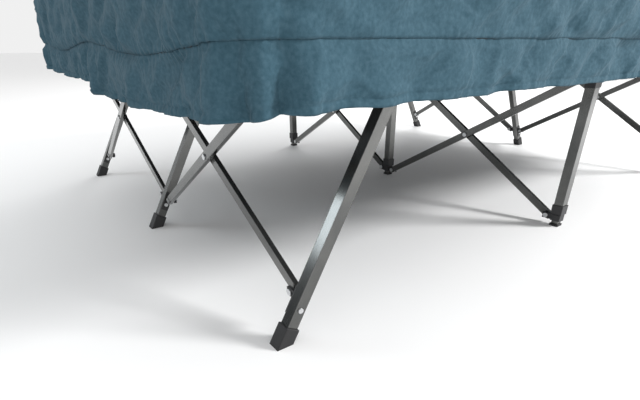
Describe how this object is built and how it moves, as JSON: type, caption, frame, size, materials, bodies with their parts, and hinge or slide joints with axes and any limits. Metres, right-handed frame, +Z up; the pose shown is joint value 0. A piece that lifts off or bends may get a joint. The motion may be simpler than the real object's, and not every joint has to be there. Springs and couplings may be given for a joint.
{
  "type": "folding camp bed with quilt",
  "caption": "Low folding camp bed: sloping legs, telescoping posts and crossed arms carry a cloth deck, an air mattress and a fitted quilt with a gathered skirt.",
  "frame": {"origin": "on the floor under the middle of the bed", "axes": "+X along the bed towards the head end, +Y across it towards the far side, +Z up"},
  "size_m": [1.988, 1.512, 0.614],
  "materials": {
    "frame_steel": "gloss",
    "bracket_steel": "satin",
    "black_plastic": "satin",
    "rubber_black": "matte",
    "zinc_bolt": "satin",
    "deck_cloth": "matte",
    "mattress_skin": "matte",
    "quilt_cloth": "matte"
  },
  "bodies": {
    "near_base": {"near_brackets": "bracket_steel", "near_foot_leg": "frame_steel", "near_head_leg": "frame_steel", "near_inner_post": "frame_steel", "near_lower_hub": "black_plastic", "near_lower_rivets": "zinc_bolt", "near_saddles": "black_plastic", "near_shoes": "rubber_black"},
    "near_top": {"near_collar": "black_plastic", "near_outer_post": "frame_steel", "near_rail": "frame_steel", "near_upper_hubs": "black_plastic", "near_upper_rivets": "zinc_bolt"},
    "centre_base": {"centre_brackets": "bracket_steel", "centre_foot_leg": "frame_steel", "centre_head_leg": "frame_steel", "centre_inner_post": "frame_steel", "centre_lower_hub": "black_plastic", "centre_lower_rivets": "zinc_bolt", "centre_saddles": "black_plastic", "centre_shoes": "rubber_black"},
    "centre_top": {"centre_collar": "black_plastic", "centre_outer_post": "frame_steel", "centre_rail": "frame_steel", "centre_upper_hubs": "black_plastic", "centre_upper_rivets": "zinc_bolt", "deck": "deck_cloth"},
    "far_base": {"far_brackets": "bracket_steel", "far_foot_leg": "frame_steel", "far_head_leg": "frame_steel", "far_inner_post": "frame_steel", "far_lower_hub": "black_plastic", "far_lower_rivets": "zinc_bolt", "far_saddles": "black_plastic", "far_shoes": "rubber_black"},
    "far_top": {"far_collar": "black_plastic", "far_outer_post": "frame_steel", "far_rail": "frame_steel", "far_upper_hubs": "black_plastic", "far_upper_rivets": "zinc_bolt"},
    "near_mid_rising": {"near_mid_rising_arm": "frame_steel"},
    "near_mid_falling": {"near_mid_falling_arm": "frame_steel", "near_mid_bolt": "zinc_bolt"},
    "near_end_rising": {"near_foot_rising_arm": "frame_steel", "near_head_rising_arm": "frame_steel"},
    "near_end_falling": {"near_foot_falling_arm": "frame_steel", "near_head_falling_arm": "frame_steel", "near_end_bolts": "zinc_bolt"},
    "far_mid_rising": {"far_mid_rising_arm": "frame_steel"},
    "far_mid_falling": {"far_mid_falling_arm": "frame_steel", "far_mid_bolt": "zinc_bolt"},
    "far_end_rising": {"far_foot_rising_arm": "frame_steel", "far_head_rising_arm": "frame_steel"},
    "far_end_falling": {"far_foot_falling_arm": "frame_steel", "far_head_falling_arm": "frame_steel", "far_end_bolts": "zinc_bolt"},
    "mattress": {"mattress": "mattress_skin"},
    "quilt": {"quilt_top": "quilt_cloth", "quilt_border": "quilt_cloth", "quilt_skirt": "quilt_cloth"}
  },
  "joints": [
    {"name": "fold", "type": "hinge", "parent": "centre_base", "child": "near_mid_falling", "pos_m": [0, -0.03, 0.024], "axis": [-1, 0, 0], "range_deg": [0, 45]},
    {"name": "near_cross", "type": "hinge", "parent": "near_mid_falling", "child": "near_mid_rising", "pos_m": [0, -0.345, 0.204], "axis": [1, 0, 0], "range_deg": [0, 90]},
    {"name": "near_foot_pin", "type": "hinge", "parent": "near_mid_rising", "child": "near_base", "pos_m": [0, -0.66, 0.024], "axis": [-1, 0, 0], "range_deg": [0, 45]},
    {"name": "near_top_pin", "type": "hinge", "parent": "near_mid_falling", "child": "near_top", "pos_m": [0, -0.66, 0.384], "axis": [1, 0, 0], "range_deg": [0, 45]},
    {"name": "centre_top_pin", "type": "hinge", "parent": "near_mid_rising", "child": "centre_top", "pos_m": [0, -0.03, 0.384], "axis": [-1, 0, 0], "range_deg": [0, 45]},
    {"name": "far_fold", "type": "hinge", "parent": "centre_base", "child": "far_mid_rising", "pos_m": [0, 0.03, 0.024], "axis": [1, 0, 0], "range_deg": [0, 45]},
    {"name": "far_cross", "type": "hinge", "parent": "far_mid_rising", "child": "far_mid_falling", "pos_m": [0, 0.345, 0.204], "axis": [-1, 0, 0], "range_deg": [0, 90]},
    {"name": "far_foot_pin", "type": "hinge", "parent": "far_mid_falling", "child": "far_base", "pos_m": [0, 0.66, 0.024], "axis": [1, 0, 0], "range_deg": [0, 45]},
    {"name": "far_top_pin", "type": "hinge", "parent": "far_mid_rising", "child": "far_top", "pos_m": [0, 0.66, 0.384], "axis": [-1, 0, 0], "range_deg": [0, 45]},
    {"name": "near_end_falling_pin", "type": "hinge", "parent": "centre_base", "child": "near_end_falling", "pos_m": [0, -0.03, 0.078], "axis": [-1, 0, 0], "range_deg": [0, 45]},
    {"name": "near_end_rising_pin", "type": "hinge", "parent": "near_base", "child": "near_end_rising", "pos_m": [0, -0.66, 0.078], "axis": [1, 0, 0], "range_deg": [0, 45]},
    {"name": "far_end_rising_pin", "type": "hinge", "parent": "centre_base", "child": "far_end_rising", "pos_m": [0, 0.03, 0.078], "axis": [1, 0, 0], "range_deg": [0, 45]},
    {"name": "far_end_falling_pin", "type": "hinge", "parent": "far_base", "child": "far_end_falling", "pos_m": [0, 0.66, 0.078], "axis": [-1, 0, 0], "range_deg": [0, 45]},
    {"name": "mattress_lift", "type": "slide", "parent": "centre_top", "child": "mattress", "axis": [0, 0, 1], "range_m": [0, 0.35]},
    {"name": "quilt_lift", "type": "slide", "parent": "mattress", "child": "quilt", "axis": [0, 0, 1], "range_m": [0, 0.4]}
  ],
  "couplings": [
    {"joint": "near_cross", "follows": "fold", "ratio": 2},
    {"joint": "near_foot_pin", "follows": "fold", "ratio": 1},
    {"joint": "near_top_pin", "follows": "fold", "ratio": 1},
    {"joint": "centre_top_pin", "follows": "fold", "ratio": 1},
    {"joint": "far_fold", "follows": "fold", "ratio": 1},
    {"joint": "far_cross", "follows": "fold", "ratio": 2},
    {"joint": "far_foot_pin", "follows": "fold", "ratio": 1},
    {"joint": "far_top_pin", "follows": "fold", "ratio": 1},
    {"joint": "near_end_falling_pin", "follows": "fold", "ratio": 1},
    {"joint": "near_end_rising_pin", "follows": "fold", "ratio": 1},
    {"joint": "far_end_rising_pin", "follows": "fold", "ratio": 1},
    {"joint": "far_end_falling_pin", "follows": "fold", "ratio": 1}
  ]
}
